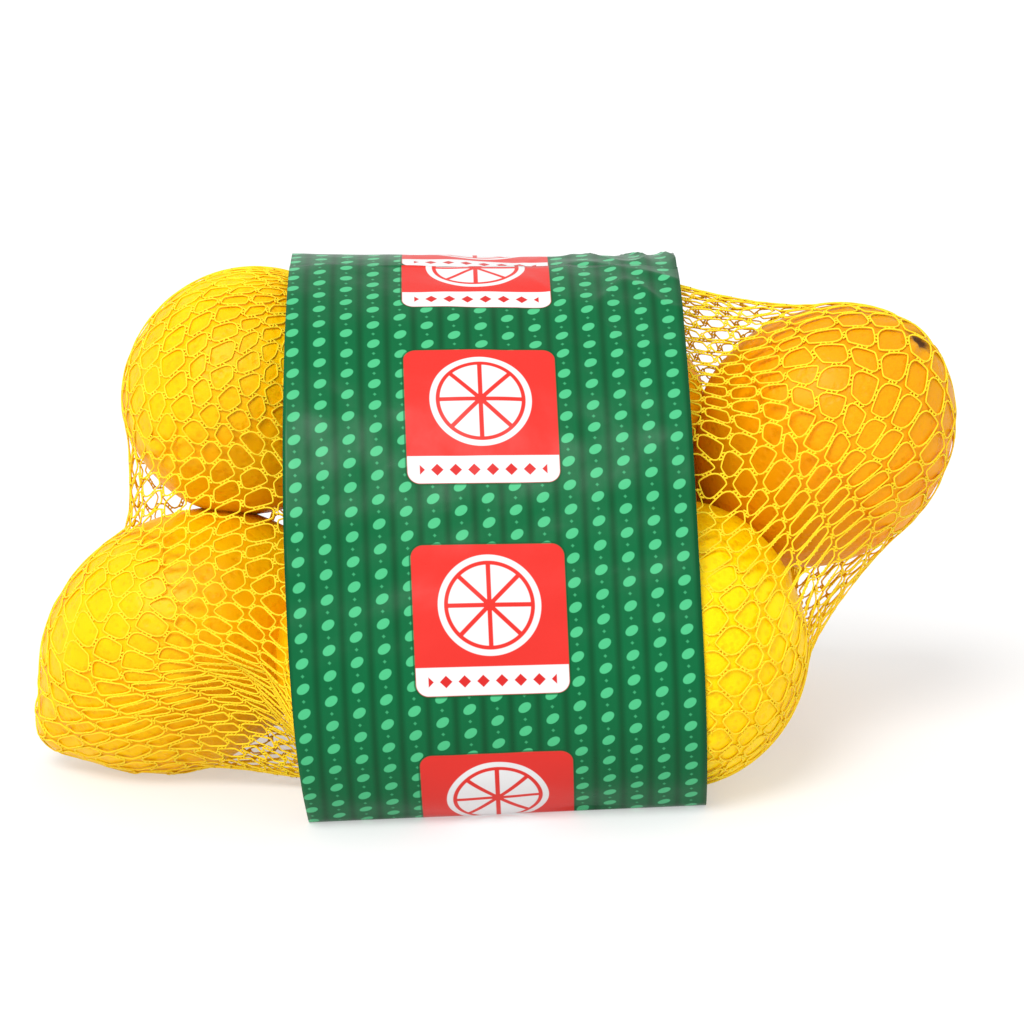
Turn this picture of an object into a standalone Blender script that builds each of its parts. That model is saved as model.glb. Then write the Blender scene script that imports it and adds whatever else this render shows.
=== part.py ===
"""Net of lemons: eight lemons in a knitted net bag, with a printed film band round the middle.

The net and what it holds are one closed solid. Its surface is a stretched skin: it starts as a
loose bag round the lemons and is drawn tight until it rests on them. The band is a thin closed
ring of film round the bag. The pack stands on the band's flat underside.

Metres, +Z up. The origin is the bottom centre of the whole pack.
"""

import math

import bmesh
import bpy
import numpy as np

MM = 0.001

# A lemon is an ellipsoid of revolution with a nipple at one end and a low stem boss at the other.
NIPPLE_LENGTH = 6 * MM
NIPPLE_ANGLE = 0.24
BOSS_LENGTH = 1.5 * MM
BOSS_ANGLE = 0.30

# Each lemon: centre in millimetres, the way its nipple points, radius and half-length.
LEMONS = {
    "upper_left": ((-60, 27, 91), (0.5, 0.8, 0.2), 30.3, 34),
    "lower_left": ((-79, 10, 31.7), (-0.84, 0.0, -0.54), 31, 38),
    "upper_middle": ((15, 13, 87.5), (-1.0, -0.1, 0.05), 30.5, 37),
    "lower_middle": ((-24, -21, 34), (0.2, 0.7, 0.6), 30.5, 33),
    "upper_right": ((82, 11, 77), (-0.66, 0.28, -0.70), 30.5, 35.5),
    "lower_right": ((42, -20.5, 35), (0.0, 0.93, 0.37), 33, 38.5),
    "back_left": ((-23, 48, 33), (0.5, -0.3, 0.6), 30, 32),
    "back_right": ((43, 47, 33), (0.9, 0.45, 0.1), 30.5, 36),
}

# Clefts that the tight net bridges instead of sinking in: the lemons round each one.
CLEFTS = (
    ("upper_right", "lower_right", "upper_middle"),
    ("upper_right", "lower_right", "back_right"),
    ("upper_left", "lower_left", "lower_middle"),
    ("upper_left", "lower_left", "back_left"),
)
CLEFT_SINK = 1 * MM

# Film band.
BAND_LEFT = -50 * MM
BAND_RIGHT = 48 * MM
BAND_TOP_LEFT = 124.5 * MM
BAND_TOP_RIGHT = 119.5 * MM
BAND_STATIONS = 5
BAND_TURNS = 96
FILM = 0.6 * MM
TOUCHING_GAP = 0.4 * MM

# What the film is stretched over in cross-section: depth, height and radius in millimetres.
BAND_SUPPORTS = (
    (-21.8, 30.1, 36.9),
    (-2.5, 71.7, 36.7),
    (11.5, 88, 33.3),
    (33.7, 91.8, 31.7),
    (47, 33, 34),
)
BAND_SOFTNESS = 2.2
SECTION_HEIGHT = 124 * MM

# Net bag.
NET_THICKNESS = 0.8 * MM
TOP_SEAM_HALF = 40 * MM
BOTTOM_SEAM_HALF = 42 * MM
SEAM_HALF_WIDTH = 1.2 * MM
TOP_SEAM_DEPTH = 30 * MM
BOTTOM_SEAM_DEPTH = -20 * MM
BAG_DEPTH = 12 * MM
BAG_HALF_WIDTH = 128 * MM
BAG_HALF_DEPTH = 84 * MM
BAG_COLUMNS = 88
BAG_ROWS = 37
DRAWING_STEPS = 400
PULL_ALONG_WALES = 0.75


def unit(vector):
    """The same direction at length one."""
    vector = np.array(vector, float)
    return vector / np.linalg.norm(vector)


def lemon_reach(angle, across, along):
    """How far a lemon's skin lies from its centre, at an angle from the nipple's direction."""
    body = across * along / np.hypot(across * np.cos(angle), along * np.sin(angle))
    nipple = NIPPLE_LENGTH * np.exp(-((angle / NIPPLE_ANGLE) ** 2))
    boss = BOSS_LENGTH * np.exp(-(((math.pi - angle) / BOSS_ANGLE) ** 2))
    return body + nipple + boss


def push_out_of_lemons(points, margin):
    """Moves each point that is inside a lemon straight out from its centre to its skin."""
    for centre, nipple, across, along in LEMONS.values():
        away = points - np.array(centre) * MM
        distance = np.maximum(np.linalg.norm(away, axis=-1), 1e-9)
        angle = np.arccos(np.clip(away @ unit(nipple) / distance, -1, 1))
        reach = lemon_reach(angle, across * MM, along * MM) + margin
        points += away * (np.maximum(reach - distance, 0) / distance)[..., None]


def push_out_of_clefts(points):
    """Moves each point out of the ball that fills a cleft, between the lemons round it."""
    for names in CLEFTS:
        centre = np.mean([LEMONS[name][0] for name in names], axis=0) * MM
        radius = np.mean([LEMONS[name][2] for name in names]) * MM - CLEFT_SINK
        away = points - centre
        distance = np.maximum(np.linalg.norm(away, axis=-1), 1e-9)
        points += away * (np.maximum(radius - distance, 0) / distance)[..., None]


def height_share(x):
    """The band's height at a place along the pack, against its section's height."""
    share = (x - BAND_LEFT) / (BAND_RIGHT - BAND_LEFT)
    return (BAND_TOP_LEFT + (BAND_TOP_RIGHT - BAND_TOP_LEFT) * share) / SECTION_HEIGHT


def directions(angles):
    """Unit vectors across the pack, in its depth and height."""
    return np.stack([np.cos(angles), np.sin(angles)], axis=-1)


def band_reach(angles):
    """How far the film reaches in each direction, rounded smoothly over its supports."""
    supports = np.array(BAND_SUPPORTS)
    reaches = (directions(angles) @ supports[:, :2].T + supports[:, 2]) / BAND_SOFTNESS
    return np.log(np.exp(reaches).sum(axis=-1)) * BAND_SOFTNESS * MM


def band_ring(x, inset):
    """The band's cross-section at one place along the pack, that far inside its outer skin."""
    angles = np.linspace(0, 2 * math.pi, BAND_TURNS, endpoint=False)
    step = 1e-4
    slope = (band_reach(angles + step) - band_reach(angles - step)) / (2 * step)
    sideways = directions(angles + math.pi / 2)
    curve = directions(angles) * (band_reach(angles) - inset)[:, None] + sideways * slope[:, None]
    curve[:, 1] = np.maximum(curve[:, 1] * height_share(x), inset)
    return [(x, depth, height) for depth, height in curve]


def hold_inside_band(points):
    """Moves each point that lies under the film back inside it."""
    inset = FILM + TOUCHING_GAP
    under = (points[..., 0] > BAND_LEFT - MM) & (points[..., 0] < BAND_RIGHT + MM)
    held = points[under]
    share = height_share(held[:, 0])
    for angle in np.linspace(0, 2 * math.pi, BAND_TURNS, endpoint=False):
        facing = directions(angle)
        reach = held[:, 1] * facing[0] + held[:, 2] / share * facing[1]
        past = np.maximum(reach - (band_reach(angle) - inset), 0)
        held[:, 1:] -= past[:, None] * facing
    held[:, 2] = np.maximum(held[:, 2], inset)
    points[under] = held


def new_object(name, bm, material):
    """Turns a bmesh into an object with one material, its faces outward."""
    bmesh.ops.recalc_face_normals(bm, faces=bm.faces)
    mesh = bpy.data.meshes.new(name)
    bm.to_mesh(mesh)
    bm.free()
    mesh.materials.append(material)
    thing = bpy.data.objects.new(name, mesh)
    bpy.context.collection.objects.link(thing)
    return thing


def plain_material(name, colour, roughness):
    """A Principled material with one colour."""
    material = bpy.data.materials.new(name)
    material.use_nodes = True
    shader = material.node_tree.nodes["Principled BSDF"]
    shader.inputs["Base Color"].default_value = (*colour, 1)
    shader.inputs["Roughness"].default_value = roughness
    shader.inputs["Metallic"].default_value = 0
    return material


def add_ring_strip(bm, first, second):
    """Joins two closed loops of the same number of vertices with a strip of quads."""
    for i, corner in enumerate(first):
        after = (i + 1) % len(first)
        bm.faces.new((corner, first[after], second[after], second[i]))


def label_band(material):
    """The film ring: an outer and an inner skin, joined along both edges."""
    bm = bmesh.new()
    stations = np.linspace(BAND_LEFT, BAND_RIGHT, BAND_STATIONS)
    outer = [[bm.verts.new(p) for p in band_ring(x, 0)] for x in stations]
    inner = [[bm.verts.new(p) for p in band_ring(x, FILM)] for x in stations]
    for skin in (outer, inner):
        for first, second in zip(skin, skin[1:]):
            add_ring_strip(bm, first, second)
    add_ring_strip(bm, outer[0], inner[0])
    add_ring_strip(bm, outer[-1], inner[-1])
    return new_object("label_band", bm, material)


def loose_bag():
    """Points of the bag before it is drawn tight: rows from the top seam down to the bottom one."""
    top = BAND_TOP_RIGHT - FILM - TOUCHING_GAP - 3 * NET_THICKNESS
    bottom = FILM + TOUCHING_GAP + NET_THICKNESS
    around = np.linspace(0, 2 * math.pi, BAG_COLUMNS, endpoint=False)
    rows = []
    for row in range(BAG_ROWS):
        down = row / (BAG_ROWS - 1)
        open_share = math.sin(math.pi * down) ** 0.4 if 0 < row < BAG_ROWS - 1 else 0
        seam_half = TOP_SEAM_HALF + (BOTTOM_SEAM_HALF - TOP_SEAM_HALF) * down
        half_width = seam_half + (BAG_HALF_WIDTH - seam_half) * open_share
        half_depth = SEAM_HALF_WIDTH + (BAG_HALF_DEPTH - SEAM_HALF_WIDTH) * open_share
        seam_depth = TOP_SEAM_DEPTH + (BOTTOM_SEAM_DEPTH - TOP_SEAM_DEPTH) * down
        depth = seam_depth + (BAG_DEPTH - seam_depth) * open_share
        x = half_width * np.cos(around)
        y = half_depth * np.sin(around) + depth
        z = np.full_like(x, top + (bottom - top) * down)
        rows.append(np.stack([x, y, z], axis=1))
    return np.array(rows)


def drawn_bag():
    """The bag drawn tight: each point is pulled towards its neighbours and held off the lemons."""
    bag = loose_bag()
    for _ in range(DRAWING_STEPS):
        along = (bag[:-2] + bag[2:]) / 2
        across = (np.roll(bag, 1, axis=1) + np.roll(bag, -1, axis=1))[1:-1] / 2
        bag[1:-1] = PULL_ALONG_WALES * along + (1 - PULL_ALONG_WALES) * across
        push_out_of_clefts(bag[1:-1])
        push_out_of_lemons(bag[1:-1], NET_THICKNESS)
        hold_inside_band(bag)
        bag[..., 2] = np.maximum(bag[..., 2], 0)
    return bag


def net_of_lemons(material):
    """The bag and its lemons as one solid, each seam closed by a strip of quads."""
    bm = bmesh.new()
    rows = [[bm.verts.new(p) for p in row] for row in drawn_bag()]
    for first, second in zip(rows, rows[1:]):
        add_ring_strip(bm, first, second)
    for seam in (rows[0], rows[-1]):
        for i in range(BAG_COLUMNS // 2):
            corners = (seam[i], seam[i + 1], seam[-i - 1], seam[-i])
            bm.faces.new(dict.fromkeys(corners))
    return new_object("net_of_lemons", bm, material)


def centre_on_origin(things):
    """Moves the meshes so that the origin is the bottom centre of the box round them all."""
    corners = np.array([v.co for thing in things for v in thing.data.vertices])
    low, high = corners.min(axis=0), corners.max(axis=0)
    for thing in things:
        for vertex in thing.data.vertices:
            vertex.co.x -= (low[0] + high[0]) / 2
            vertex.co.y -= (low[1] + high[1]) / 2
            vertex.co.z -= low[2]


def main():
    for thing in list(bpy.data.objects):
        bpy.data.objects.remove(thing, do_unlink=True)
    yellow = plain_material("lemon_net", (0.90, 0.50, 0.01), 0.45)
    green = plain_material("printed_film", (0.0, 0.17, 0.05), 0.3)
    centre_on_origin([net_of_lemons(yellow), label_band(green)])


main()
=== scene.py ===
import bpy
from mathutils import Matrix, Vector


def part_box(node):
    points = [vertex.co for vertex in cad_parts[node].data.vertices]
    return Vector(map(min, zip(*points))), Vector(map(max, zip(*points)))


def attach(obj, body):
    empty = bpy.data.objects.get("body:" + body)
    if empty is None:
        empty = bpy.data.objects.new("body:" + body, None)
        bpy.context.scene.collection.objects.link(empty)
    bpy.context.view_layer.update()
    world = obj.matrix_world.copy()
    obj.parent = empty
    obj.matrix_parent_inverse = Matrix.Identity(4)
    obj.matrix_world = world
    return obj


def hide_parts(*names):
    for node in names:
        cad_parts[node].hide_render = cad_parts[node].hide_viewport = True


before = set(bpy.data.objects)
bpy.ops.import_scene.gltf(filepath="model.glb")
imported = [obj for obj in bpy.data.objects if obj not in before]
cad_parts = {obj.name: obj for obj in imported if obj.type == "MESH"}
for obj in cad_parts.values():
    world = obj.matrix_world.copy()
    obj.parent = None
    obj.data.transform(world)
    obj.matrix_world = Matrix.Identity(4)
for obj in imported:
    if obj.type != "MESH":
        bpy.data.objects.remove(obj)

"""Net of lemons: the finish of a grocery pack of lemons.

Eight lemons, the knitted net drawn tight over them, and the printed film band round the middle.
Places are worked out in the pack's own space, whose origin is on the floor under the band, and
are then shifted to where the frame's band lies.
"""

import math

import bpy
import numpy as np
from mathutils import Euler, Vector

bl_info = {
    "name": "Net of Lemons",
    "version": (1, 0, 0),
    "blender": (4, 5, 0),
    "location": "3D View > Sidebar > Lemons",
    "description": "Builds a net of lemons with its printed film band",
    "category": "Object",
}

MM = 0.001
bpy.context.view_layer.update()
BAND_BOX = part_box("label_band")

# Each lemon: centre in millimetres, the way its nipple points, radius and half-length.
LEMONS = {
    "upper_left": ((-60, 27, 91), (0.5, 0.8, 0.2), 30.3, 34),
    "lower_left": ((-79, 10, 31.7), (-0.84, 0.0, -0.54), 31, 38),
    "upper_middle": ((15, 13, 87.5), (-1.0, -0.1, 0.05), 30.5, 37),
    "lower_middle": ((-24, -21, 34), (0.2, 0.7, 0.6), 30.5, 33),
    "upper_right": ((82, 11, 77), (-0.66, 0.28, -0.70), 30.5, 35.5),
    "lower_right": ((42, -20.5, 35), (0.0, 0.93, 0.37), 33, 38.5),
    "back_left": ((-23, 48, 33), (0.5, -0.3, 0.6), 30, 32),
    "back_right": ((43, 47, 33), (0.9, 0.45, 0.1), 30.5, 36),
}

# Clefts that the tight net bridges instead of sinking in: the lemons round each one.
CLEFTS = (
    ("upper_right", "lower_right", "upper_middle"),
    ("upper_right", "lower_right", "back_right"),
    ("upper_left", "lower_left", "lower_middle"),
    ("upper_left", "lower_left", "back_left"),
)
CLEFT_SINK = 1 * MM

# A lemon's nipple and the low boss round its stem scar.
NIPPLE_LENGTH = 6 * MM
NIPPLE_ANGLE = 0.24
BOSS_LENGTH = 1.5 * MM
BOSS_ANGLE = 0.30

# The band's edges and the height of its top at each, in the pack's space.
BAND_LEFT = -50 * MM
BAND_RIGHT = 48 * MM
BAND_TOP_LEFT = 124.5 * MM
BAND_TOP_RIGHT = 119.5 * MM

# What the film is stretched over in cross-section: depth, height and radius in millimetres.
BAND_SUPPORTS = (
    (-21.8, 30.1, 36.9),
    (-2.5, 71.7, 36.7),
    (11.5, 88, 33.3),
    (33.7, 91.8, 31.7),
    (47, 33, 34),
)
BAND_SOFTNESS = 2.2
EDGE_PINCH = 2.2 * MM
SECTION_HEIGHT = 124 * MM

# The seams that close the bag's two ends.
TOP_SEAM_HALF = 40 * MM
BOTTOM_SEAM_HALF = 42 * MM
SEAM_HALF_WIDTH = 1.2 * MM
TOP_SEAM_DEPTH = 30 * MM
BOTTOM_SEAM_DEPTH = -20 * MM
BAG_DEPTH = 12 * MM
BAG_HALF_WIDTH = 128 * MM
BAG_HALF_DEPTH = 84 * MM

# The height above which the film is loose enough to crease, and the flat map's two islands.
CREASES_FROM = 0.1
ISLAND_WIDTH = 0.46
ISLAND_HEIGHT = 0.98

# The stage: floor patches, the key light's side and spread in radians, and the camera's aim.
FLOOR_PALE_PATCH = (0.47, 0.47, 0.47)
KEY_SIDE = (-0.3, -0.7, 1.0)
KEY_SPREAD = 0.5
AIM_HEIGHT = 58 * MM
CAMERA_SHIFT = (0.0166, 0.0234)


# ---------------------------------------------------------------- shapes


def unit(vector):
    """The same direction at length one."""
    vector = np.array(vector, float)
    return vector / np.linalg.norm(vector)


def lemon_reach(angle, across, along):
    """How far a lemon's skin lies from its centre, at an angle from the nipple's direction."""
    body = across * along / np.hypot(across * np.cos(angle), along * np.sin(angle))
    nipple = NIPPLE_LENGTH * np.exp(-((angle / NIPPLE_ANGLE) ** 2))
    boss = BOSS_LENGTH * np.exp(-(((math.pi - angle) / BOSS_ANGLE) ** 2))
    return body + nipple + boss


def push_out_of_lemons(points, margin):
    """Moves each point that is inside a lemon straight out from its centre to its skin."""
    for centre, nipple, across, along in LEMONS.values():
        away = points - np.array(centre) * MM
        distance = np.maximum(np.linalg.norm(away, axis=-1), 1e-9)
        angle = np.arccos(np.clip(away @ unit(nipple) / distance, -1, 1))
        reach = lemon_reach(angle, across * MM, along * MM) + margin
        points += away * (np.maximum(reach - distance, 0) / distance)[..., None]


def push_out_of_clefts(points):
    """Moves each point out of the ball that fills a cleft, between the lemons round it."""
    for names in CLEFTS:
        centre = np.mean([LEMONS[name][0] for name in names], axis=0) * MM
        radius = np.mean([LEMONS[name][2] for name in names]) * MM - CLEFT_SINK
        away = points - centre
        distance = np.maximum(np.linalg.norm(away, axis=-1), 1e-9)
        points += away * (np.maximum(radius - distance, 0) / distance)[..., None]


def height_share(x):
    """The band's height at a place along the pack, against its section's height."""
    share = (x - BAND_LEFT) / (BAND_RIGHT - BAND_LEFT)
    return (BAND_TOP_LEFT + (BAND_TOP_RIGHT - BAND_TOP_LEFT) * share) / SECTION_HEIGHT


def directions(angles):
    """Unit vectors across the pack, in its depth and height."""
    return np.stack([np.cos(angles), np.sin(angles)], axis=-1)


def band_reach(angles):
    """How far the film reaches in each direction, rounded smoothly over its supports."""
    supports = np.array(BAND_SUPPORTS)
    reaches = (directions(angles) @ supports[:, :2].T + supports[:, 2]) / BAND_SOFTNESS
    return np.log(np.exp(reaches).sum(axis=-1)) * BAND_SOFTNESS * MM


def hold_inside_band(points, inset):
    """Moves each point that lies under the film back inside it, that far from its outer face."""
    under = (points[..., 0] > BAND_LEFT - MM) & (points[..., 0] < BAND_RIGHT + MM)
    held = points[under]
    share = height_share(held[:, 0])
    for angle in np.linspace(0, 2 * math.pi, 72, endpoint=False):
        facing = directions(angle)
        reach = held[:, 1] * facing[0] + held[:, 2] / share * facing[1]
        past = np.maximum(reach - (band_reach(angle) - inset), 0)
        held[:, 1:] -= past[:, None] * facing
    held[:, 2] = np.maximum(held[:, 2], inset)
    points[under] = held


def pack_shift():
    """From the pack's space to the frame: the frame's band has its front and left edge here."""
    front = -float(band_reach(np.array([math.pi]))[0])
    return np.array([BAND_BOX[0][0] - BAND_LEFT, BAND_BOX[0][1] - front, 0.0])


def smooth_noise(places, size, seed):
    """A smooth random number from about -1 to 1 at each place, with bumps of that size."""
    random = np.random.default_rng(seed)
    total = np.zeros(places.shape[:-1])
    for _ in range(10):
        way = unit(random.normal(size=3)) * (2 * math.pi / size) * random.uniform(0.6, 1.3)
        total += np.sin(places @ way + random.uniform(0, 2 * math.pi))
    return total / math.sqrt(10)


# ---------------------------------------------------------------- making pieces


def mesh_object(name, points, faces, material, smooth=True):
    """A mesh object in the frame's space, at the origin, from points in the pack's space."""
    mesh = bpy.data.meshes.new(name)
    mesh.from_pydata((points + pack_shift()).tolist(), [], faces)
    mesh.polygons.foreach_set("use_smooth", [smooth] * len(mesh.polygons))
    mesh.update()
    mesh.materials.append(material)
    piece = bpy.data.objects.new(name, mesh)
    bpy.context.scene.collection.objects.link(piece)
    return piece


def grid_faces(rows, columns, closed=True, first=0, flip=False):
    """Quads between the rows of a grid of points, whose rows may be closed loops."""
    faces = []
    for row in range(rows - 1):
        for column in range(columns if closed else columns - 1):
            after = (column + 1) % columns
            quad = (
                first + row * columns + column,
                first + row * columns + after,
                first + (row + 1) * columns + after,
                first + (row + 1) * columns + column,
            )
            faces.append(quad[::-1] if flip else quad)
    return faces


def settle(piece, node):
    """Rides the piece on the pack, in place of a node of the frame."""
    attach(piece, "root")
    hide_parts(node)


# ---------------------------------------------------------------- materials


class Amount:
    """A number that varies over a surface. Sums written with it add Math nodes."""

    def __init__(self, paint, socket):
        self.paint = paint
        self.socket = socket

    def math(self, operation, *values, clamp=False):
        settings = {"operation": operation, "use_clamp": clamp}
        return self.paint.add("ShaderNodeMath", settings, dict(enumerate(values)))

    def __add__(self, other):
        return self.math("ADD", self, other)

    def __radd__(self, other):
        return self.math("ADD", other, self)

    def __sub__(self, other):
        return self.math("SUBTRACT", self, other)

    def __rsub__(self, other):
        return self.math("SUBTRACT", other, self)

    def __mul__(self, other):
        return self.math("MULTIPLY", self, other)

    def __rmul__(self, other):
        return self.math("MULTIPLY", other, self)

    def __truediv__(self, other):
        return self.math("DIVIDE", self, other)

    def __neg__(self):
        return self.math("MULTIPLY", self, -1)

    def __abs__(self):
        return self.math("ABSOLUTE", self)

    def __mod__(self, other):
        return self.math("FLOORED_MODULO", self, other)

    def __lt__(self, other):
        return self.math("LESS_THAN", self, other)

    def __gt__(self, other):
        return self.math("GREATER_THAN", self, other)

    def floor(self):
        return self.math("FLOOR", self)

    def power(self, exponent):
        return self.math("POWER", self, exponent)

    def least(self, other):
        return self.math("MINIMUM", self, other)

    def most(self, other):
        return self.math("MAXIMUM", self, other)

    def clamped(self):
        return self.math("ADD", self, 0, clamp=True)

    def below(self, edge, softness):
        """One where this is under the edge, fading to nothing over the softness."""
        return ((edge - self) / softness + 0.5).clamped()


class Paint:
    """Builds one material's nodes round its Principled shader."""

    def __init__(self, name):
        self.material = bpy.data.materials.new(name)
        self.material.use_nodes = True
        self.tree = self.material.node_tree
        self.shader = self.tree.nodes["Principled BSDF"]

    def plug(self, value, socket):
        """Links a varying value to a socket, or sets a plain one on it."""
        if isinstance(value, Amount):
            self.tree.links.new(value.socket, socket)
        else:
            socket.default_value = value

    def add(self, kind, settings=None, inputs=None, output=0):
        """A node of that kind, with its settings made first and then its sockets filled."""
        node = self.tree.nodes.new(kind)
        for name, value in (settings or {}).items():
            setattr(node, name, value)
        for key, value in (inputs or {}).items():
            self.plug(value, node.inputs[key])
        return Amount(self, node.outputs[output])

    def ramp(self, factor, stops, smooth=False):
        """A colour ramp with (place, colour) stops."""
        found = self.add("ShaderNodeValToRGB", None, {"Fac": factor})
        ramp = found.socket.node.color_ramp
        ramp.interpolation = "EASE" if smooth else "LINEAR"
        for place, colour in stops[2:]:
            ramp.elements.new(place)
        for element, (place, colour) in zip(ramp.elements, stops):
            element.position = place
            element.color = (*colour, 1)
        return found

    def mix(self, share, first, second, blend="MIX"):
        """A colour between two, or one laid over the other."""
        settings = {"data_type": "RGBA", "blend_type": blend}
        inputs = {0: share, 6: as_colour(first), 7: as_colour(second)}
        return self.add("ShaderNodeMix", settings, inputs, 2)

    def noise(self, place, scale, detail=2.0, roughness=0.5):
        """Smooth noise from 0 to 1, its scale in bumps for each metre."""
        inputs = {"Vector": place, "Scale": scale, "Detail": detail, "Roughness": roughness}
        return self.add("ShaderNodeTexNoise", None, inputs)

    def place(self):
        """The place on the piece, in metres."""
        return self.add("ShaderNodeTexCoord", None, None, 3)

    def bump(self, height, strength, distance, below=None):
        """A bump from a height, on top of another one if given."""
        inputs = {"Height": height, "Strength": strength, "Distance": distance}
        if below:
            inputs["Normal"] = below
        return self.add("ShaderNodeBump", None, inputs)

    def finish(self, **sockets):
        """Fills the Principled shader's sockets, named with underscores for spaces."""
        for name, value in sockets.items():
            self.plug(value, self.shader.inputs[name.replace("_", " ").title().replace("Ior", "IOR")])
        return self.material


def as_colour(value):
    """A colour with its alpha, or a varying one as it is."""
    return value if isinstance(value, Amount) else (*tuple(value)[:3], 1)


def lemon_peel(settings, name, green_share, tint, tint_share):
    """Waxy yellow peel: broad golden and green-gold patches, oil pores, a stem scar, and an even tint over the
    whole lemon that is painted light on one lemon and painted shade on another.
    """
    paint = Paint(name)
    place = paint.place()
    patches = paint.noise(place, 45, 3.0, 0.55)
    mottle = paint.noise(place, 260, 3.0, 0.6)
    golden = paint.ramp(
        patches + (mottle - 0.5) * 0.25,
        [(0.30, settings.deep_colour), (0.70, settings.skin_colour)],
        smooth=True,
    )
    # The even tint over the whole lemon is painted light on the lower right lemon and painted shade on the
    # upper right one.
    golden = paint.mix(tint_share, golden, tint)
    cells = {"feature": "F1", "distance": "EUCLIDEAN"}
    pore = paint.add(
        "ShaderNodeTexVoronoi", cells, {"Vector": place, "Scale": 560.0, "Randomness": 1.0}
    )
    coarse = paint.add(
        "ShaderNodeTexVoronoi", cells, {"Vector": place, "Scale": 330.0, "Randomness": 1.0}
    )
    pit = pore.below(0.30, 0.25)
    wide_pit = coarse.below(0.26, 0.22)
    colour = paint.mix(pit * 0.22 + wide_pit * 0.18, golden, settings.pore_colour)
    ends = paint.add("ShaderNodeAttribute", {"attribute_name": "peel"}, None, 0)
    parts = ends.socket.node.outputs["Color"]
    split = paint.add("ShaderNodeSeparateColor", None, {"Color": Amount(paint, parts)})
    scar = Amount(paint, split.socket.node.outputs[0])
    ripeness = Amount(paint, split.socket.node.outputs[1])
    blush = (ripeness * (0.55 + 0.9 * (patches - 0.35)) * green_share).clamped()
    colour = paint.mix(blush, colour, settings.green_colour)
    colour = paint.mix((scar * 1.2).clamped(), colour, settings.scar_colour)
    speck = paint.add(
        "ShaderNodeTexVoronoi", cells, {"Vector": place, "Scale": 70.0, "Randomness": 1.0}
    )
    speckled = speck.below(0.035, 0.02) * (patches > 0.56)
    colour = paint.mix(speckled * 0.8, colour, settings.scar_colour)
    lumps = paint.noise(place, 120, 2.0, 0.5)
    base = paint.bump(lumps, 0.5, 0.9 * MM)
    height = 1 - (pit * 0.6 + wide_pit)
    return paint.finish(
        base_color=colour,
        roughness=0.34 + mottle * 0.14,
        normal=paint.bump(height, 0.55, 0.22 * MM, base),
        specular_ior_level=0.12,
        subsurface_weight=0.12,
        subsurface_scale=0.002,
    )


def knitted_thread(settings):
    """Thin yellow plastic thread with a soft sheen, a little paler and darker along its length."""
    paint = Paint("net_thread")
    place = paint.place()
    shade = paint.noise(place, 180, 2.0, 0.6)
    fibre = paint.noise(place, 2600, 2.0, 0.6)
    colour = paint.ramp(
        shade, [(0.25, settings.thread_deep_colour), (0.75, settings.thread_colour)]
    )
    return paint.finish(
        base_color=colour,
        roughness=0.38 + fibre * 0.2,
        normal=paint.bump(fibre, 0.3, 0.05 * MM),
        specular_ior_level=0.1,
        subsurface_weight=0.1,
        subsurface_scale=0.001,
    )


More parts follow.
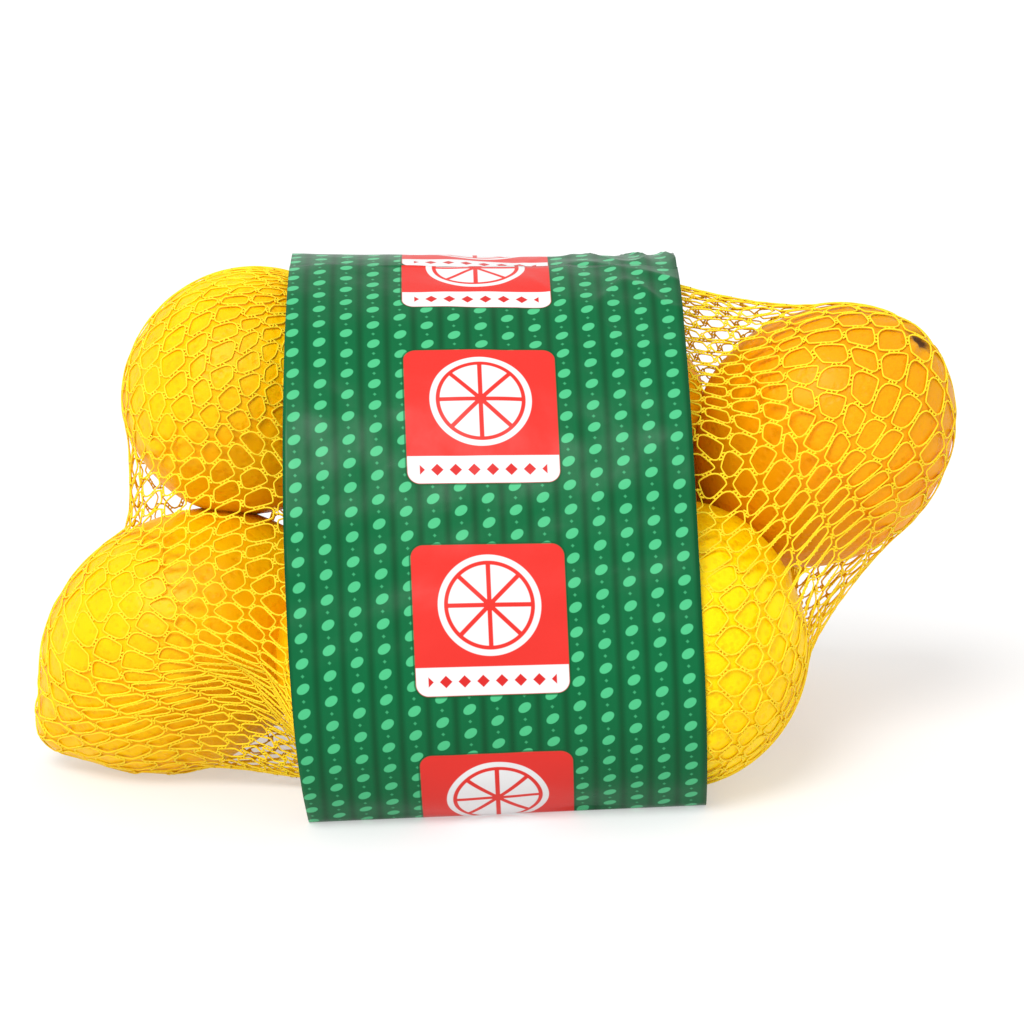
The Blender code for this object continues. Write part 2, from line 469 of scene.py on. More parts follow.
def printed_film(settings):
    """Glossy film: a striped green ground with rows of plain small ovals, and red panels with a slice."""
    paint = Paint("printed_film")
    place = paint.place()
    print_map = paint.add("ShaderNodeUVMap", {"uv_map": "print"})
    split = paint.add("ShaderNodeSeparateXYZ", None, {0: print_map})
    across = split * 100
    around = Amount(paint, split.socket.node.outputs[1]) * 100

    # Plain solid ovals in staggered columns, with a diamond between each two.
    pitch, row = settings.oval_column * 1000, settings.oval_row * 1000
    column = (across / pitch).floor()
    x = (across % pitch) - pitch / 2
    y = ((around + (column % 2) * (row / 2)) % row) - row / 2
    turned = x * 0.82 + y * 0.57
    other = y * 0.82 - x * 0.57
    oval = ((turned / 1.95).power(2) + (other / 1.3).power(2)).power(0.5)
    far = abs(abs(y) - row / 2)
    tick = (abs(x) + far).below(0.42, 0.3) * 0.6
    mark = oval.below(0.85, 0.12).most(tick)
    stripe = abs(x).below(pitch / 2 - 0.75, 1.1)
    cloud = paint.noise(place, 30, 2.0, 0.5)
    ground = paint.mix(stripe, settings.dark_green, settings.green)
    ground = paint.mix((cloud - 0.35) * 0.6, ground, settings.dark_green)
    colour = paint.mix(mark * 0.9, ground, settings.mark_colour)

    # Red panels in one row round the band, each with a citrus slice over a white foot.
    half = settings.panel_size * 500
    px = across - settings.panel_centre * 1000
    spacing = settings.panel_pitch * 1000
    py = ((around + settings.panel_start * 1000 + spacing / 2) % spacing) - spacing / 2
    corner = 3.0
    over_x = (abs(px) - (half - corner)).most(0)
    over_y = (abs(py) - (half - corner)).most(0)
    edge = (over_x.power(2) + over_y.power(2)).power(0.5)
    outline = edge.below(corner + 0.45, 0.2)
    panel = edge.below(corner, 0.2)
    colour = paint.mix(outline * 0.75, colour, settings.dark_green)
    red = paint.mix((cloud - 0.3) * 0.3, settings.red, settings.dark_red)
    colour = paint.mix(panel, colour, red)
    foot_top = settings.panel_foot * 2 * half - half
    foot = py.below(foot_top, 0.2) * edge.below(corner - 0.1, 0.2)
    colour = paint.mix(foot, colour, settings.white_ink)
    sx = px
    sy = py - (foot_top + half) / 2
    radius = settings.slice_radius * 1000
    away = (sx.power(2) + sy.power(2)).power(0.5)
    turn = sy.math("ARCTAN2", sy, sx)
    wedge = abs(((turn + math.pi / 8) % (math.pi / 4)) - math.pi / 8)
    spoke = (wedge * away).below(0.55, 0.2)
    rim = abs(away - radius * 0.94).below(radius * 0.06, 0.2)
    flesh = away.below(radius * 0.80, 0.2) * (away > radius * 0.12) * (1 - spoke)
    colour = paint.mix(rim.most(flesh) * (1 - foot), colour, settings.white_ink)
    dots_x = (px % 4.4) - 2.2
    dots = (abs(dots_x) + abs(py - (foot_top - half) / 2)).below(1.5, 0.2) * abs(px).below(half - 3, 0.2)
    colour = paint.mix(dots * foot, colour, settings.dark_red)

    crease = paint.noise(place, 55, 3.0, 0.6)
    fine = paint.noise(place, 240, 2.0, 0.5)
    return paint.finish(
        base_color=colour,
        roughness=0.24 + fine * 0.14,
        normal=paint.bump(crease + fine * 0.15, 0.3, 0.8 * MM),
        specular_ior_level=0.14,
    )


def plain_floor(settings):
    """A pale matt surface with the faintest unevenness."""
    paint = Paint("pale_floor")
    cloud = paint.noise(paint.place(), 3, 2.0, 0.5)
    colour = paint.ramp(cloud, [(0.3, settings.floor_colour), (0.7, FLOOR_PALE_PATCH)])
    return paint.finish(
        base_color=colour,
        roughness=0.9,
        emission_color=(1.0, 1.0, 1.0, 1.0),
        emission_strength=settings.floor_glow,
    )


# ---------------------------------------------------------------- settings


def length(name, description, default):
    """A size property in metres."""
    return bpy.props.FloatProperty(
        name=name, description=description, default=default, min=0.0, unit="LENGTH", precision=5
    )


def colour(name, description, default):
    """A colour property, in linear values."""
    return bpy.props.FloatVectorProperty(
        name=name, description=description, default=default, subtype="COLOR", min=0.0, max=1.0
    )


class LemonSettings(bpy.types.PropertyGroup):
    rings: bpy.props.IntProperty(name="Rings", description="Rings of points on a lemon", default=84)
    sides: bpy.props.IntProperty(name="Sides", description="Points in each ring", default=96)
    lump_height: length("Lump height", "How far the skin's broad lumps stand out", 0.3 * MM)
    skin_colour: colour("Skin", "Bright peel", (0.97, 0.57, 0.0))
    deep_colour: colour("Deep skin", "Riper golden patches", (0.92, 0.47, 0.0))
    # Painted light: a paler tint over the whole lower right lemon, standing in for the light falling on that
    # front lemon.
    lit_peel_colour: colour("Fresh", "The brightest lemon's peel", (1.0, 0.70, 0.0))
    # Painted shade: a deeper golden tint over the whole upper right lemon, standing in for the shade it sits
    # in.
    shaded_peel_colour: colour("Golden", "The ripest lemon's peel", (0.88, 0.30, 0.0))
    pore_colour: colour("Pores", "The bottom of the oil pores", (0.75, 0.28, 0.0))
    green_colour: colour("Green blush", "Peel that isn't quite ripe", (0.30, 0.19, 0.004))
    scar_colour: colour("Scar", "Stem scar and specks", (0.10, 0.04, 0.01))


class NetSettings(bpy.types.PropertyGroup):
    wales: bpy.props.IntProperty(name="Wales", description="Cells round the bag", default=58)
    courses: bpy.props.IntProperty(
        name="Courses", description="Half cells from seam to seam", default=40
    )
    drawing_steps: bpy.props.IntProperty(
        name="Drawing steps", description="Steps that draw the bag tight", default=600
    )
    pull_along: bpy.props.FloatProperty(
        name="Pull along wales", description="Share of the pull that runs up and down", default=0.75
    )
    thread_radius: length("Thread radius", "Half the thickness of one thread", 0.24 * MM)
    bar_gap: length("Bar gap", "Distance between the two threads of a bar", 1.4 * MM)
    joint: length("Joint", "Length over which two wales run together", 1.3 * MM)
    under_film: length("Under film", "How far the net is shown under the band's edges", 6 * MM)
    thread_colour: colour("Thread", "Bright thread", (1.0, 0.74, 0.025))
    thread_deep_colour: colour("Deep thread", "Duller thread", (1.0, 0.64, 0.02))


class BandSettings(bpy.types.PropertyGroup):
    thickness: length("Film thickness", "Thickness of the film", 0.12 * MM)
    crease_height: length("Crease height", "How far the loose film's creases rise", 1.1 * MM)
    around_step: length("Step round", "Size of the film's quads round the pack", 1.0 * MM)
    across_step: length("Step across", "Size of the film's quads across the band", 1.0 * MM)
    end_place: length("End", "How far up from the front the film's outer end lies", 131 * MM)
    overlap: length("Overlap", "How far the film's ends overlap", 16 * MM)
    oval_column: length("Oval columns", "Distance between columns of ovals", 6.5 * MM)
    oval_row: length("Oval rows", "Distance between ovals in a column", 6.0 * MM)
    panel_size: length("Panel size", "Width of a red panel", 36.3 * MM)
    panel_pitch: length("Panel pitch", "Distance between red panels", 51.4 * MM)
    panel_centre: length("Panel centre", "From the band's left edge to the panels' middle", 48.0 * MM)
    panel_start: length("Panel start", "From the film's outer end to a panel's middle", 4.7 * MM)
    panel_foot: bpy.props.FloatProperty(
        name="Panel foot", description="White share at a panel's foot", default=0.19
    )
    slice_radius: length("Slice radius", "Radius of the printed citrus slice", 12.2 * MM)
    green: colour("Green", "Printed ground", (0.0, 0.118, 0.036))
    dark_green: colour("Dark green", "Stripes between the columns", (0.0, 0.068, 0.019))
    mark_colour: colour("Marks", "Small printed marks", (0.07, 0.48, 0.21))
    red: colour("Red", "Printed panels", (0.66, 0.03, 0.022))
    dark_red: colour("Dark red", "Deeper red ink", (0.56, 0.02, 0.018))
    white_ink: colour("White", "Printed white", (0.72, 0.72, 0.72))


class StageSettings(bpy.types.PropertyGroup):
    camera_distance: length("Camera distance", "From the camera to the pack", 1.1)
    camera_height: bpy.props.FloatProperty(
        name="Camera height",
        description="Angle above the horizon",
        default=math.radians(15),
        subtype="ANGLE",
    )
    camera_roll: bpy.props.FloatProperty(
        name="Camera roll",
        description="Turn about the line of sight",
        default=math.radians(2.5),
        subtype="ANGLE",
    )
    lens: bpy.props.FloatProperty(name="Lens", description="Focal length in millimetres", default=156.6)
    floor_size: length("Floor size", "Side of the square floor", 6.0)
    floor_glow: bpy.props.FloatProperty(
        name="Floor glow", description="Light that shines up through the floor", default=0.45
    )
    floor_colour: colour("Floor", "Pale floor", (0.44, 0.44, 0.44))
    key_strength: bpy.props.FloatProperty(
        name="Key strength", description="Brightness of the broad light", default=2.2
    )
    sky_strength: bpy.props.FloatProperty(
        name="Sky strength", description="Brightness of the white surroundings", default=0.88
    )


# ---------------------------------------------------------------- lemons


def lemon_points(spec, settings, seed, scarred):
    """A lemon's rings of points from nipple to stem, and how scarred and ripe each point is."""
    centre, nipple, across, along = spec
    axis = unit(nipple)
    side = unit(np.cross(axis, (0.3, 0.5, 0.8)))
    up = np.cross(axis, side)
    turns = np.linspace(0, 2 * math.pi, settings.sides, endpoint=False)
    angles = np.linspace(0, math.pi, settings.rings)
    angle, turn = np.meshgrid(angles, turns, indexing="ij")
    round_axis = np.cos(turn)[..., None] * side + np.sin(turn)[..., None] * up
    facing = np.cos(angle)[..., None] * axis + np.sin(angle)[..., None] * round_axis
    reach = lemon_reach(angle, across * MM, along * MM)
    sway = np.sin(angle) ** 0.5
    reach = reach + settings.lump_height * smooth_noise(facing, 0.9, seed) * sway
    reach = reach + 0.4 * settings.lump_height * smooth_noise(facing, 0.35, seed + 50) * sway
    ridges = np.cos(turn * 5 + seed) + 0.6 * np.cos(turn * 8 + 2 * seed)
    near_nipple = np.exp(-(((angle - 0.34) / 0.16) ** 2))
    near_stem = np.exp(-(((math.pi - angle - 0.16) / 0.10) ** 2))
    reach = reach + (0.35 * near_nipple + 0.3 * near_stem) * ridges * MM
    stem = math.pi - angle
    reach = reach - 1.6 * MM * np.exp(-((stem / 0.07) ** 2))
    scar = scarred * (np.exp(-((stem / 0.075) ** 4)) + 0.6 * np.exp(-((angle / 0.05) ** 4)))
    ripeness = smooth_noise(facing, 2.4, seed + 90) * 0.5 + 0.1
    ripeness = ripeness + 0.7 * np.exp(-((angle / 0.35) ** 2))
    points = np.array(centre) * MM + facing * reach[..., None]
    return points, scar, ripeness


def lemon_piece(name, spec, settings, material, seed):
    """One lemon as a closed mesh, flattened a little where the film presses on it."""
    points, scar, ripeness = lemon_points(spec, settings, seed, name != "upper_left")
    rings, sides = settings.rings, settings.sides
    inner = points[1:-1].reshape(-1, 3)
    corners = np.concatenate([inner, points[0, :1], points[-1, :1]])
    hold_inside_band(corners, 1.0 * MM)
    corners[:, 2] = np.maximum(corners[:, 2], 0.6 * MM)
    faces = grid_faces(rings - 2, sides, flip=True)
    tip, foot = len(inner), len(inner) + 1
    last = (rings - 3) * sides
    for i in range(sides):
        after = (i + 1) % sides
        faces.append((i, after, tip))
        faces.append((last + after, last + i, foot))
    piece = mesh_object("lemon_" + name, corners, faces, material)
    values = np.ones((len(corners), 4))
    values[:, 0] = np.append(scar[1:-1].ravel(), [scar[0, 0], scar[-1, 0]])
    values[:, 1] = np.append(ripeness[1:-1].ravel(), [ripeness[0, 0], ripeness[-1, 0]])
    values[:, 2] = 0
    peel = piece.data.color_attributes.new("peel", "FLOAT_COLOR", "POINT")
    peel.data.foreach_set("color", np.clip(values, 0, 1).ravel())
    return piece


class LEMONS_OT_lemons(bpy.types.Operator):
    """Makes the eight lemons, each with its own lumps, ripeness and stem scar"""

    bl_idname = "lemons.lemons"
    bl_label = "Lemons"

    def execute(self, context):
        settings = context.scene.lemon_settings
        # Two painted tints: the deeper golden one is painted shade for the upper right lemon, the paler one
        # painted light for the lower right lemon.
        golden, lit_tint = settings.shaded_peel_colour, settings.lit_peel_colour
        plain = lemon_peel(settings, "lemon_peel", 0.08, lit_tint, 0.0)
        materials = {
            # Green blush that the lemon has, under a deeper golden tint of painted shade.
            "upper_right": lemon_peel(settings, "greenish_shaded_peel", 0.7, golden, 0.75),
            # A paler tint of painted light over the whole front lemon.
            "lower_right": lemon_peel(settings, "painted_lit_peel", 0.0, lit_tint, 0.75),
        }
        for seed, (name, spec) in enumerate(LEMONS.items(), start=3):
            material = materials.get(name, plain)
            piece = lemon_piece(name, spec, settings, material, seed)
            settle(piece, "net_of_lemons")
        return {"FINISHED"}


# ---------------------------------------------------------------- net


def loose_bag(rows, columns):
    """Points of the bag before it is drawn tight: rows from the top seam down to the bottom one."""
    top = BAND_TOP_RIGHT - 3.4 * MM
    bottom = 1.8 * MM
    around = np.linspace(0, 2 * math.pi, columns, endpoint=False)
    bag = []
    for row in range(rows):
        down = row / (rows - 1)
        open_share = math.sin(math.pi * down) ** 0.4 if 0 < row < rows - 1 else 0
        seam_half = TOP_SEAM_HALF + (BOTTOM_SEAM_HALF - TOP_SEAM_HALF) * down
        half_width = seam_half + (BAG_HALF_WIDTH - seam_half) * open_share
        half_depth = SEAM_HALF_WIDTH + (BAG_HALF_DEPTH - SEAM_HALF_WIDTH) * open_share
        seam_depth = TOP_SEAM_DEPTH + (BOTTOM_SEAM_DEPTH - TOP_SEAM_DEPTH) * down
        depth = seam_depth + (BAG_DEPTH - seam_depth) * open_share
        x = half_width * np.cos(around)
        y = half_depth * np.sin(around) + depth
        z = np.full_like(x, top + (bottom - top) * down)
        bag.append(np.stack([x, y, z], axis=1))
    return np.array(bag)


def drawn_bag(settings):
    """The bag drawn tight: each point is pulled towards its neighbours and held off the lemons."""
    bag = loose_bag(settings.courses + 1, settings.wales * 2)
    pull = settings.pull_along
    for step in range(settings.drawing_steps + 1):
        along = (bag[:-2] + bag[2:]) / 2
        across = (np.roll(bag, 1, axis=1) + np.roll(bag, -1, axis=1))[1:-1] / 2
        bag[1:-1] = pull * along + (1 - pull) * across
        push_out_of_clefts(bag[1:-1])
        push_out_of_lemons(bag[1:-1], settings.thread_radius)
        if step % 4 == 0:
            hold_inside_band(bag, 0.8 * MM)
        bag[..., 2] = np.maximum(bag[..., 2], settings.thread_radius)
    return bag


def spread_evenly(points, closed):
    """The points of each line, moved along it so that they are the same distance apart."""
    ends = np.concatenate([points, points[:, :1]], axis=1) if closed else points
    even = np.empty_like(points)
    for line, moved in zip(ends, even):
        steps = np.linalg.norm(np.diff(line, axis=0), axis=1)
        distance = np.concatenate([[0], np.cumsum(steps)])
        place = np.linspace(0, distance[-1], len(moved), endpoint=not closed)
        for axis in range(3):
            moved[:, axis] = np.interp(place, distance, line[:, axis])
    return even


def evened(bag, settings):
    """The drawn bag with its knots spread evenly over it, still on the lemons."""
    for _ in range(2):
        bag = (bag + spread_evenly(bag, closed=True)) / 2
        even = spread_evenly(bag.transpose(1, 0, 2), closed=False).transpose(1, 0, 2)
        bag = (bag + even) / 2
        push_out_of_clefts(bag[1:-1])
        push_out_of_lemons(bag[1:-1], settings.thread_radius)
        hold_inside_band(bag, 0.8 * MM)
    return bag


def stray(bag, settings):
    """Moves the knots a little along the skin, so that no two cells are quite alike."""
    along = bag[2:] - bag[:-2]
    across = (np.roll(bag, -1, axis=1) - np.roll(bag, 1, axis=1))[1:-1]
    inner = bag[1:-1]
    for seed, (way, share) in enumerate(((along, 0.07), (across, 0.10))):
        broad = smooth_noise(inner, 42 * MM, 20 + seed)
        close = smooth_noise(inner, 9 * MM, 30 + seed)
        inner = inner + way * (share * (broad + 0.8 * close))[..., None]
    bag[1:-1] = inner
    return bag


def cell_loops(bag, settings):
    """For each cell, the closed rounded outline of its thread and the places of its bars' ends."""
    rows, columns = bag.shape[:2]
    row, column = np.meshgrid(np.arange(1, rows - 1), np.arange(columns), indexing="ij")
    chosen = (row + column) % 2 == 1
    row, column = row[chosen], column[chosen]
    top = bag[row - 1, column]
    foot = bag[row + 1, column]
    left = bag[row, (column - 1) % columns]
    right = bag[row, (column + 1) % columns]
    middle = (top + foot + left + right) / 4
    tall = np.linalg.norm(foot - top, axis=1)[:, None]
    wale = (foot - top) / np.maximum(tall, 1e-6)
    joint = np.minimum(settings.joint, tall * 0.3) / 2 * wale
    outline = np.stack([top, right - joint, right + joint, foot, left + joint, left - joint], axis=1)
    wide = np.linalg.norm(right - left, axis=1)[:, None, None]
    away = outline - middle[:, None]
    distance = np.maximum(np.linalg.norm(away, axis=2, keepdims=True), 1e-6)
    inset = np.minimum(settings.bar_gap * 0.62, wide * 0.22)
    outline = middle[:, None] + away * (1 - np.minimum(inset / distance, 0.45))
    for share in (0.27, 0.25):
        after = np.roll(outline, -1, axis=1)
        first = outline * (1 - share) + after * share
        second = outline * share + after * (1 - share)
        outline = np.stack([first, second], axis=2)
        outline = outline.reshape(len(outline), -1, 3)
    return outline, middle


def hold_threads(points, settings):
    """Keeps thread points just off the lemons, the film and the floor."""
    push_out_of_lemons(points, settings.thread_radius * 0.8 + 0.18 * MM)
    hold_inside_band(points, 1.2 * MM)
    points[..., 2] = np.maximum(points[..., 2], settings.thread_radius)


def bar_links(bag, settings):
    """Short cross threads that tie the two threads of each bar, two to a bar."""
    rows, columns = bag.shape[:2]
    row, column = np.meshgrid(np.arange(1, rows - 2), np.arange(columns), indexing="ij")
    chosen = (row + column) % 2 == 0
    row, column = row[chosen], column[chosen]
    links = []
    for side in (-1, 1):
        start = bag[row, column]
        end = bag[row + 1, (column + side) % columns]
        other = bag[row, (column + side) % columns] - bag[row + 1, column]
        bar = end - start
        size = np.linalg.norm(bar, axis=1)[:, None]
        flat = bar / np.maximum(size, 1e-6)
        cross = other - (other * flat).sum(axis=1)[:, None] * flat
        cross /= np.maximum(np.linalg.norm(cross, axis=1)[:, None], 1e-6)
        for place, lean in ((0.36, 0.5), (0.50, -0.5), (0.64, 0.5)):
            middle = start + bar * place
            half = cross * settings.bar_gap * 0.36 + flat * settings.bar_gap * 0.4 * lean
            links.append(np.stack([middle - half, middle + half], axis=1))
    return np.concatenate(links)


def thread_tree(material):
    """Geometry Nodes that turn lines into round threads."""
    tree = bpy.data.node_groups.new("Round thread", "GeometryNodeTree")
    face = tree.interface
    face.new_socket("Lines", in_out="INPUT", socket_type="NodeSocketGeometry")
    face.new_socket("Thread radius", in_out="INPUT", socket_type="NodeSocketFloat")
    face.new_socket("Sides", in_out="INPUT", socket_type="NodeSocketInt")
    face.new_socket("Threads", in_out="OUTPUT", socket_type="NodeSocketGeometry")
    nodes, link = tree.nodes, tree.links.new
    given = nodes.new("NodeGroupInput")
    curve = nodes.new("GeometryNodeMeshToCurve")
    profile = nodes.new("GeometryNodeCurvePrimitiveCircle")
    tube = nodes.new("GeometryNodeCurveToMesh")
    smooth = nodes.new("GeometryNodeSetShadeSmooth")
    real = nodes.new("GeometryNodeRealizeInstances")
    painted = nodes.new("GeometryNodeSetMaterial")
    result = nodes.new("NodeGroupOutput")
    painted.inputs["Material"].default_value = material
    link(given.outputs["Lines"], curve.inputs["Mesh"])
    link(given.outputs["Sides"], profile.inputs["Resolution"])
    link(given.outputs["Thread radius"], profile.inputs["Radius"])
    link(curve.outputs["Curve"], tube.inputs["Curve"])
    link(profile.outputs["Curve"], tube.inputs["Profile Curve"])
    link(tube.outputs["Mesh"], smooth.inputs["Geometry"])
    link(smooth.outputs["Geometry"], real.inputs["Geometry"])
    link(real.outputs["Geometry"], painted.inputs["Geometry"])
    link(painted.outputs["Geometry"], result.inputs["Threads"])
    return tree


def threads_from_lines(name, points, edges, tree, settings, material):
    """A mesh object of round threads along the lines, made by the tree and then left plain."""
    mesh = bpy.data.meshes.new(name + "_lines")
    mesh.from_pydata((points + pack_shift()).tolist(), edges.tolist(), [])
    lines = bpy.data.objects.new(name + "_lines", mesh)
    bpy.context.scene.collection.objects.link(lines)
    modifier = lines.modifiers.new("Threads", "NODES")
    modifier.node_group = tree
    sockets = {item.name: item.identifier for item in tree.interface.items_tree}
    modifier[sockets["Thread radius"]] = settings.thread_radius
    modifier[sockets["Sides"]] = 4
    lines.update_tag()
    graph = bpy.context.evaluated_depsgraph_get()
    threads = bpy.data.meshes.new_from_object(lines.evaluated_get(graph))
    threads.name = name
    bpy.data.objects.remove(lines, do_unlink=True)
    threads.materials.clear()
    threads.materials.append(material)
    piece = bpy.data.objects.new(name, threads)
    bpy.context.scene.collection.objects.link(piece)
    return piece


def shown(middle, settings):
    """Whether the net there can be seen: outside the band, or a little way under its edges."""
    hidden = (middle[:, 0] > BAND_LEFT + settings.under_film) & (
        middle[:, 0] < BAND_RIGHT - settings.under_film
    )
    return ~hidden


class LEMONS_OT_net(bpy.types.Operator):
    """Draws the knitted net tight over the lemons and makes its double threads"""

    bl_idname = "lemons.net"
    bl_label = "Net"

    def execute(self, context):
        settings = context.scene.net_settings
        material = knitted_thread(settings)
        tree = thread_tree(material)
        bag = stray(evened(drawn_bag(settings), settings), settings)
        loops, middle = cell_loops(bag, settings)
        links = bar_links(bag, settings)
        quarters = {
            "net_left_front": lambda p: (p[:, 0] < 0) & (p[:, 1] < BAG_DEPTH),
            "net_left_back": lambda p: (p[:, 0] < 0) & (p[:, 1] >= BAG_DEPTH),
            "net_right_front": lambda p: (p[:, 0] >= 0) & (p[:, 1] < BAG_DEPTH),
            "net_right_back": lambda p: (p[:, 0] >= 0) & (p[:, 1] >= BAG_DEPTH),
        }
        for name, inside in quarters.items():
            chosen = loops[shown(middle, settings) & inside(middle)]
            centre = links.mean(axis=1)
            ties = links[shown(centre, settings) & inside(centre)]
            count, size = chosen.shape[:2]
            points = np.concatenate([chosen.reshape(-1, 3), ties.reshape(-1, 3)])
            hold_threads(points, settings)
            index = np.arange(count * size).reshape(count, size)
            round_cells = np.stack([index, np.roll(index, -1, axis=1)], axis=2).reshape(-1, 2)
            across = np.arange(len(ties) * 2).reshape(-1, 2) + count * size
            edges = np.concatenate([round_cells, across])
            piece = threads_from_lines(name, points, edges, tree, settings, material)
            settle(piece, "net_of_lemons")
        return {"FINISHED"}


# ---------------------------------------------------------------- band


def section_by_length(count=3600):
    """The film's cross-section as (distance round, depth, height), from its front point upwards."""
    angles = math.pi - np.linspace(0, 2 * math.pi, count + 1)
    step = 1e-4
    slope = (band_reach(angles + step) - band_reach(angles - step)) / (2 * step)
    curve = directions(angles) * band_reach(angles)[:, None]
    curve += directions(angles + math.pi / 2) * slope[:, None]
    curve[:, 1] = np.maximum(curve[:, 1], 0)
    steps = np.linalg.norm(np.diff(curve, axis=0), axis=1)
    distance = np.concatenate([[0], np.cumsum(steps)])
    return distance, curve


def film_points(settings):
    """The film as rows round the pack: points, which way is out, and each row's distance."""
    distance, curve = section_by_length()
    whole = distance[-1]
    length_round = whole + settings.overlap
    rows = int(length_round / settings.around_step)
    columns = int((BAND_RIGHT - BAND_LEFT) / settings.across_step)
    place = settings.end_place - settings.overlap + np.linspace(0, length_round, rows)
    wrapped = place % whole
    depth = np.interp(wrapped, distance, curve[:, 0])
    height = np.interp(wrapped, distance, curve[:, 1])
    around = np.stack([np.gradient(depth), np.gradient(height)], axis=1)
    around /= np.linalg.norm(around, axis=1)[:, None]
    out = np.stack([-around[:, 1], around[:, 0]], axis=1)
    x = np.linspace(BAND_LEFT, BAND_RIGHT, columns)
    points = np.zeros((rows, columns, 3))
    pinch = EDGE_PINCH * (2 * height / height.max() - 1) ** 2
    points[..., 0] = x + pinch[:, None] * (BAND_RIGHT - x) / (BAND_RIGHT - BAND_LEFT)
    points[..., 1] = depth[:, None]
    points[..., 2] = height[:, None] * height_share(x)[None, :]
    outward = np.zeros((rows, columns, 3))
    outward[..., 1] = out[:, None, 0]
    outward[..., 2] = out[:, None, 1]
    return points, outward, place, length_round


class LEMONS_OT_band(bpy.types.Operator):
    """Makes the printed film band, with its overlap, ripples and creases"""

    bl_idname = "lemons.band"
    bl_label = "Band"

    def execute(self, context):
        settings = context.scene.band_settings
        points, outward, place, length_round = film_points(settings)
        rows, columns = points.shape[:2]
        x = points[..., 0]
        from_end = (place[-1] - place)[:, None]
        near_end = np.exp(-((from_end / (14 * MM)) ** 2))
        on_floor = points[..., 2] < 1.0 * MM
        rise = smooth_noise(points, 34 * MM, 5) * 0.35 + smooth_noise(points, 13 * MM, 6) * 0.12
        wave = np.sin(x / (7 * MM)) * 0.5 + np.sin(x / (3.1 * MM) + 1.0) * 0.25
        rise = rise + near_end * (0.5 + 0.6 * wave)
        ridges = 1 - np.abs(smooth_noise(points * [1, 0.45, 0.45], 11 * MM, 8))
        loose = np.clip((x - 5 * MM) / (35 * MM), 0, 1) * np.clip((points[..., 2] - CREASES_FROM) / 0.015, 0, 1)
        rise = rise + settings.crease_height / MM * loose * ridges ** 3
        rise = np.where(on_floor, 0, rise) * MM
        winding = (place - place[0])[:, None] / length_round
        rise = rise - 0.35 * MM + 0.35 * MM * winding
        outer = points + outward * rise[..., None]
        outer[-1, :, 1] += 0.8 * MM * np.sin(x[-1] / (11 * MM))
        outer[..., 2] = np.maximum(outer[..., 2], 0)
        inner = outer - outward * settings.thickness
        inner[..., 2] = np.maximum(inner[..., 2], settings.thickness)
        count = rows * columns
        corners = np.concatenate([outer.reshape(-1, 3), inner.reshape(-1, 3)])
        faces = grid_faces(rows, columns, closed=False, flip=True)
        faces += grid_faces(rows, columns, closed=False, first=count)
        rim = [column for column in range(columns)]
        rim += [row * columns + columns - 1 for row in range(1, rows)]
        rim += [(rows - 1) * columns + column for column in range(columns - 2, -1, -1)]
        rim += [row * columns for row in range(rows - 2, 0, -1)]
        for here, after in zip(rim, rim[1:] + rim[:1]):
            faces.append((here, after, after + count, here + count))
        piece = mesh_object("film_band", corners, faces, printed_film(settings))
        self.unwrap(piece, x, place, rows, columns)
        settle(piece, "label_band")
        return {"FINISHED"}

    def unwrap(self, piece, x, place, rows, columns):
        """A map of real sizes for the print, in tenths of a metre, and one of flat islands."""
        across = ((x - BAND_LEFT) * 10).ravel()
        around = np.repeat((place - place[-1]) * 10, columns)
        size = np.stack([across, around], axis=1)
        size = np.concatenate([size, size])
        flat_across = np.tile(np.linspace(0, ISLAND_WIDTH, columns), rows)
        flat_around = np.repeat(np.linspace(0, ISLAND_HEIGHT, rows), columns)
        flat = np.stack([flat_across, flat_around], axis=1)
        flat = np.concatenate([flat, flat + [0.5, 0]])
        corner = np.empty(len(piece.data.loops), int)
        piece.data.loops.foreach_get("vertex_index", corner)
        for name, values in (("OFBake", flat), ("print", size)):
            layer = piece.data.uv_layers.new(name=name)
            layer.data.foreach_set("uv", values[corner].ravel())


# ---------------------------------------------------------------- stage


def soft_sun(name, side, spread, strength):
    """A broad white light from far away, on that side of the pack."""
    light = bpy.data.lights.new(name, "SUN")
    light.energy = strength
    light.angle = spread
    lamp = bpy.data.objects.new(name, light)
    lamp.rotation_euler = Vector(side).to_track_quat("Z", "Y").to_euler()
    bpy.context.scene.collection.objects.link(lamp)


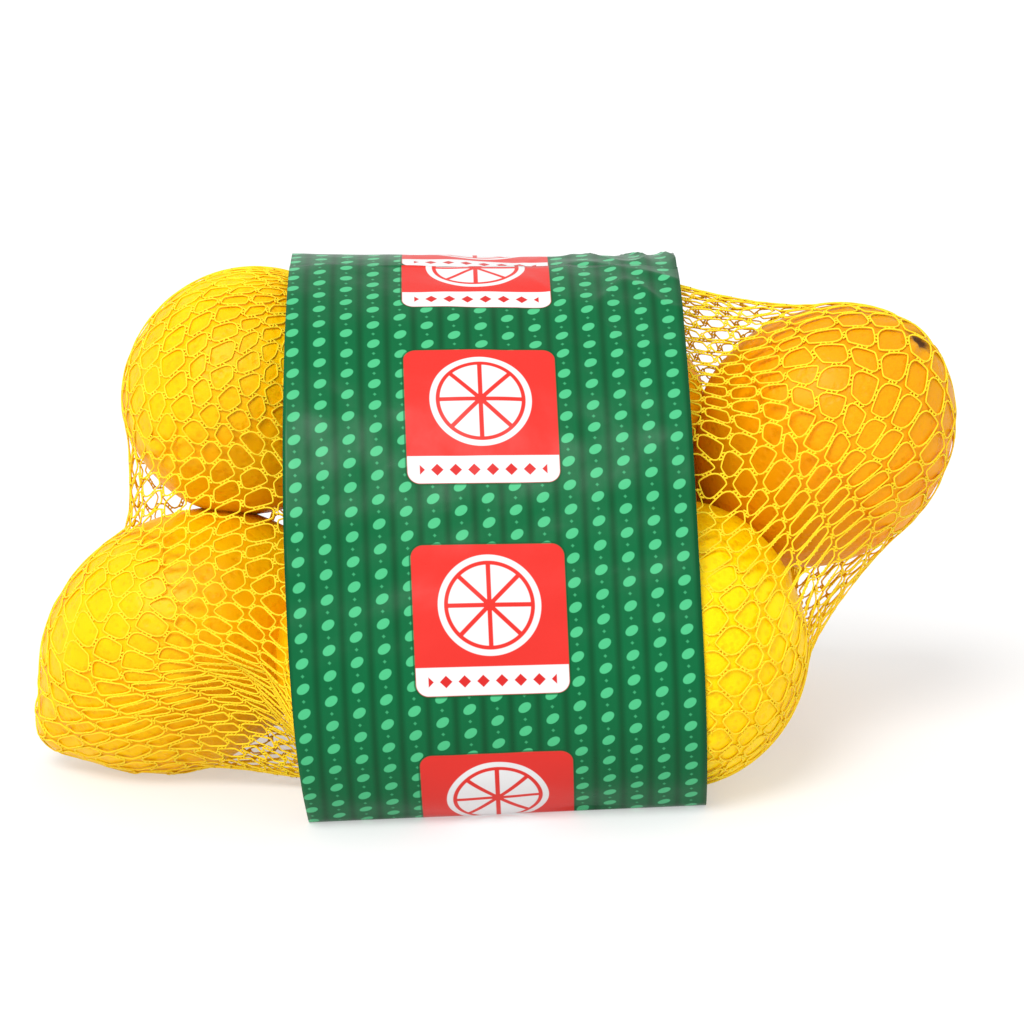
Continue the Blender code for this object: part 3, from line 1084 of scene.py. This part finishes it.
class LEMONS_OT_stage(bpy.types.Operator):
    """Makes the pale floor, the soft white light and the camera"""

    bl_idname = "lemons.stage"
    bl_label = "Stage"

    def execute(self, context):
        settings = context.scene.stage_settings
        scene = context.scene
        half = settings.floor_size / 2
        corners = np.array([(-half, -half, 0), (half, -half, 0), (half, half, 0), (-half, half, 0)])
        floor = mesh_object("floor", corners, [(0, 1, 2, 3)], plain_floor(settings), smooth=False)

        world = bpy.data.worlds.new("surroundings")
        world.use_nodes = True
        world.node_tree.nodes["Background"].inputs["Color"].default_value = (1, 1, 1, 1)
        world.node_tree.nodes["Background"].inputs["Strength"].default_value = settings.sky_strength
        scene.world = world
        scene.view_settings.view_transform = "Standard"

        aim = Vector(pack_shift()) + Vector((0, 0, AIM_HEIGHT))
        soft_sun("key", KEY_SIDE, KEY_SPREAD, settings.key_strength)

        camera = bpy.data.objects.new("camera", bpy.data.cameras.new("camera"))
        camera.data.sensor_width = 36
        camera.data.lens = settings.lens
        camera.data.shift_x = CAMERA_SHIFT[0]
        camera.data.shift_y = CAMERA_SHIFT[1]
        camera.data.clip_start = 0.01
        camera.data.dof.use_dof = False
        back = Vector((0, -math.cos(settings.camera_height), math.sin(settings.camera_height)))
        camera.location = aim + back * settings.camera_distance
        tilt = Euler((math.pi / 2 - settings.camera_height, 0, 0)).to_quaternion()
        roll = Euler((0, 0, -settings.camera_roll)).to_quaternion()
        camera.rotation_euler = (tilt @ roll).to_euler()
        scene.collection.objects.link(camera)
        scene.camera = camera
        return {"FINISHED"}


# ---------------------------------------------------------------- add-on


class LEMONS_PT_panel(bpy.types.Panel):
    """The pieces of the pack, in the order they are made"""

    bl_idname = "LEMONS_PT_panel"
    bl_label = "Net of Lemons"
    bl_space_type = "VIEW_3D"
    bl_region_type = "UI"
    bl_category = "Lemons"

    def draw(self, context):
        for operator, group in PIECES:
            box = self.layout.box()
            box.operator(operator)
            settings = getattr(context.scene, group)
            for name in settings.__annotations__:
                box.prop(settings, name)


PIECES = (
    ("lemons.stage", "stage_settings"),
    ("lemons.lemons", "lemon_settings"),
    ("lemons.net", "net_settings"),
    ("lemons.band", "band_settings"),
)
GROUPS = {
    "stage_settings": StageSettings,
    "lemon_settings": LemonSettings,
    "net_settings": NetSettings,
    "band_settings": BandSettings,
}
CLASSES = (
    *GROUPS.values(),
    LEMONS_OT_stage,
    LEMONS_OT_lemons,
    LEMONS_OT_net,
    LEMONS_OT_band,
    LEMONS_PT_panel,
)


def register():
    for each in CLASSES:
        bpy.utils.register_class(each)
    for name, group in GROUPS.items():
        setattr(bpy.types.Scene, name, bpy.props.PointerProperty(type=group))


def unregister():
    for name in GROUPS:
        delattr(bpy.types.Scene, name)
    for each in reversed(CLASSES):
        bpy.utils.unregister_class(each)


def main():
    """Registers the add-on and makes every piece."""
    register()
    bpy.ops.lemons.stage()
    bpy.ops.lemons.lemons()
    bpy.ops.lemons.net()
    bpy.ops.lemons.band()


if __name__ == "__main__":
    main()
